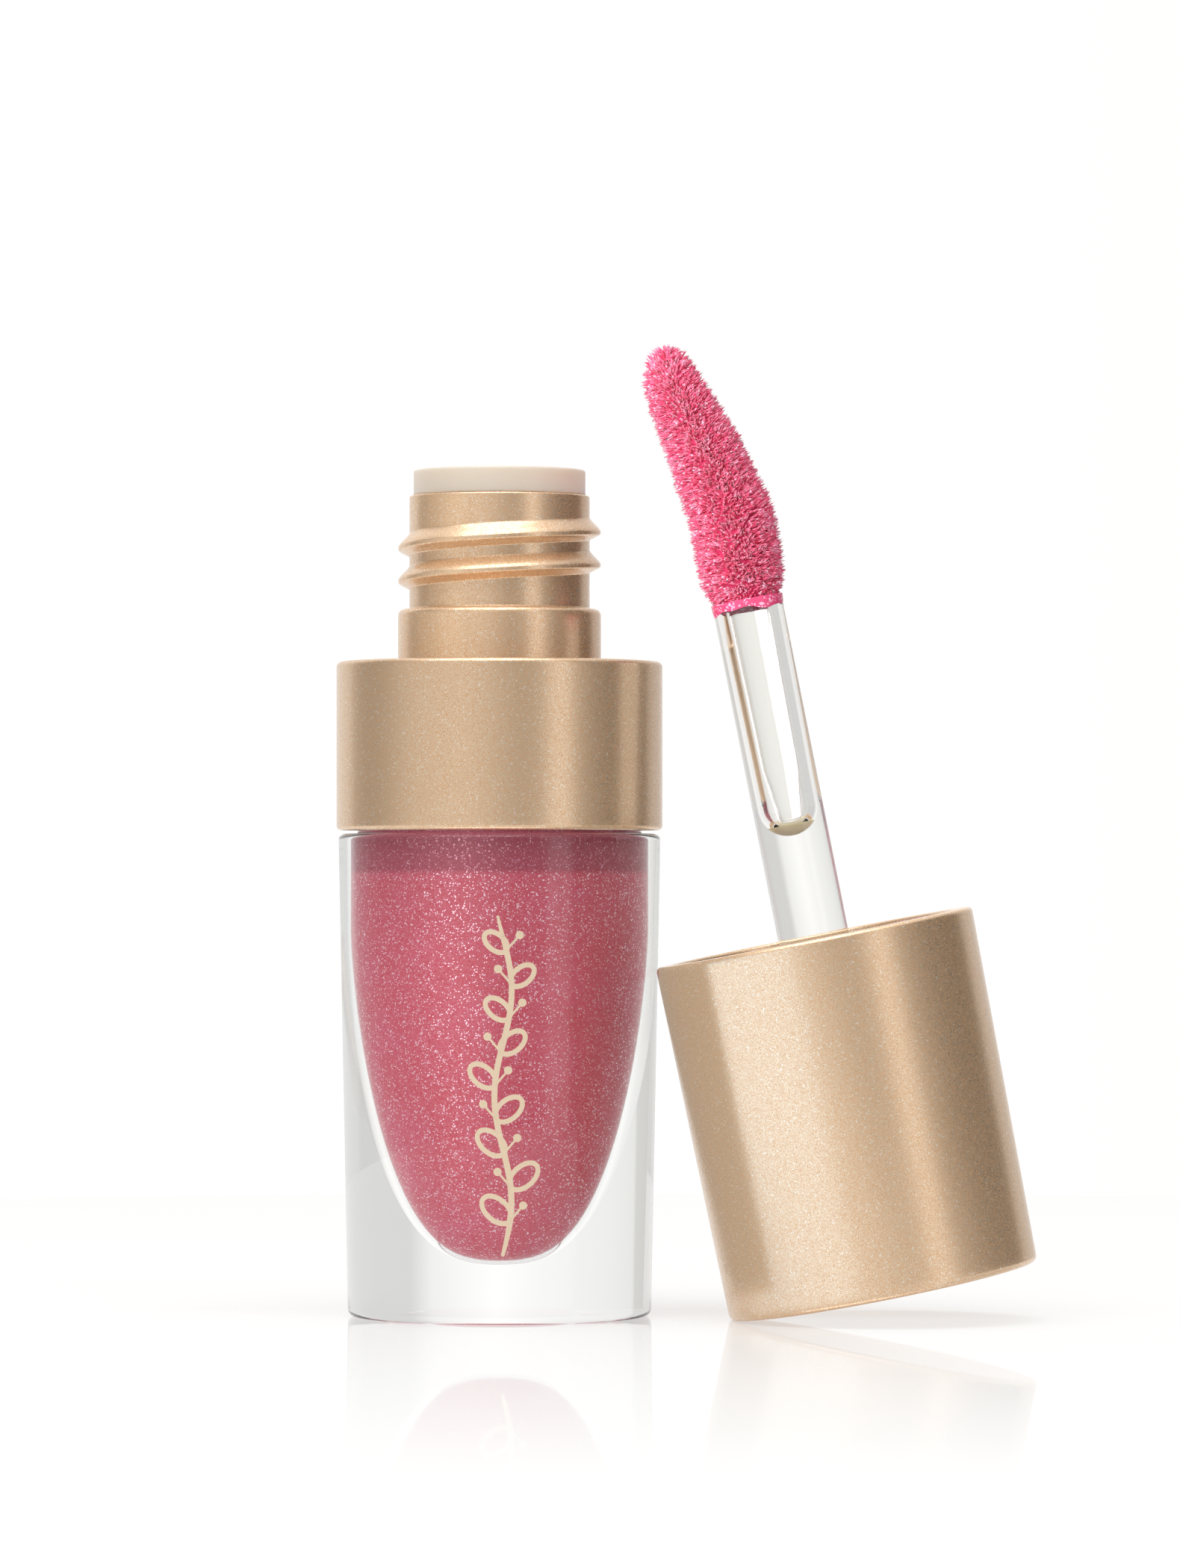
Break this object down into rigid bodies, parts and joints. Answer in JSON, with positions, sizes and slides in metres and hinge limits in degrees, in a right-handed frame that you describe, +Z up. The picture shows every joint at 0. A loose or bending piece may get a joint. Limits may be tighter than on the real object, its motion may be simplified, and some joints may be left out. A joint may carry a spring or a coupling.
{
  "type": "lip gloss tube",
  "caption": "Open screw-top lip gloss tube: thick clear bottle with gold collar and threaded neck, and a gold cap carrying a clear rod with a flocked doe-foot tip.",
  "frame": {"origin": "centre of the bottle's flat base, on the surface it stands on", "axes": "+Z up along the bottle's axis; the cap and applicator stand beside the bottle towards +X; -Y is the side the picture looks from"},
  "size_m": [0.0441, 0.0244, 0.061],
  "materials": {
    "clear_plastic": "polished, clear",
    "gloss_liquid": "pearl shimmer in a thick clear pink liquid",
    "gold_paint": "champagne gold metallic paint with fine flake, satin",
    "wiper_plastic": "natural, slightly translucent",
    "liner_plastic": "natural white, moulded",
    "gasket_foam": "matte foam",
    "tip_plastic": "clear to milky, moulded",
    "flock": "short nylon flock, wet with pink gloss"
  },
  "bodies": {
    "bottle": {"bottle_body": "clear_plastic", "gloss_fill": "gloss_liquid", "neck_sleeve": "gold_paint", "collar": "gold_paint", "wiper": "wiper_plastic"},
    "liner": {"cap_gasket": "gasket_foam"},
    "cap": {"cap_shell": "gold_paint", "inner_cap": "liner_plastic", "applicator_rod": "clear_plastic", "tip_core": "tip_plastic", "tip_flock": "flock"}
  },
  "joints": [
    {"name": "cap_flip", "type": "hinge", "parent": "bottle", "child": "liner", "pos_m": [0.00699, -0.00039, 0.05791], "axis": [-0.2944, -0.9553, -0.0289], "range_deg": [0, 169.3]},
    {"name": "cap_turn", "type": "hinge", "parent": "liner", "child": "cap", "pos_m": [0.0242, -0.004, 0.00184], "axis": [-0.1942, 0, 0.981], "range_deg": [0, 540]}
  ]
}
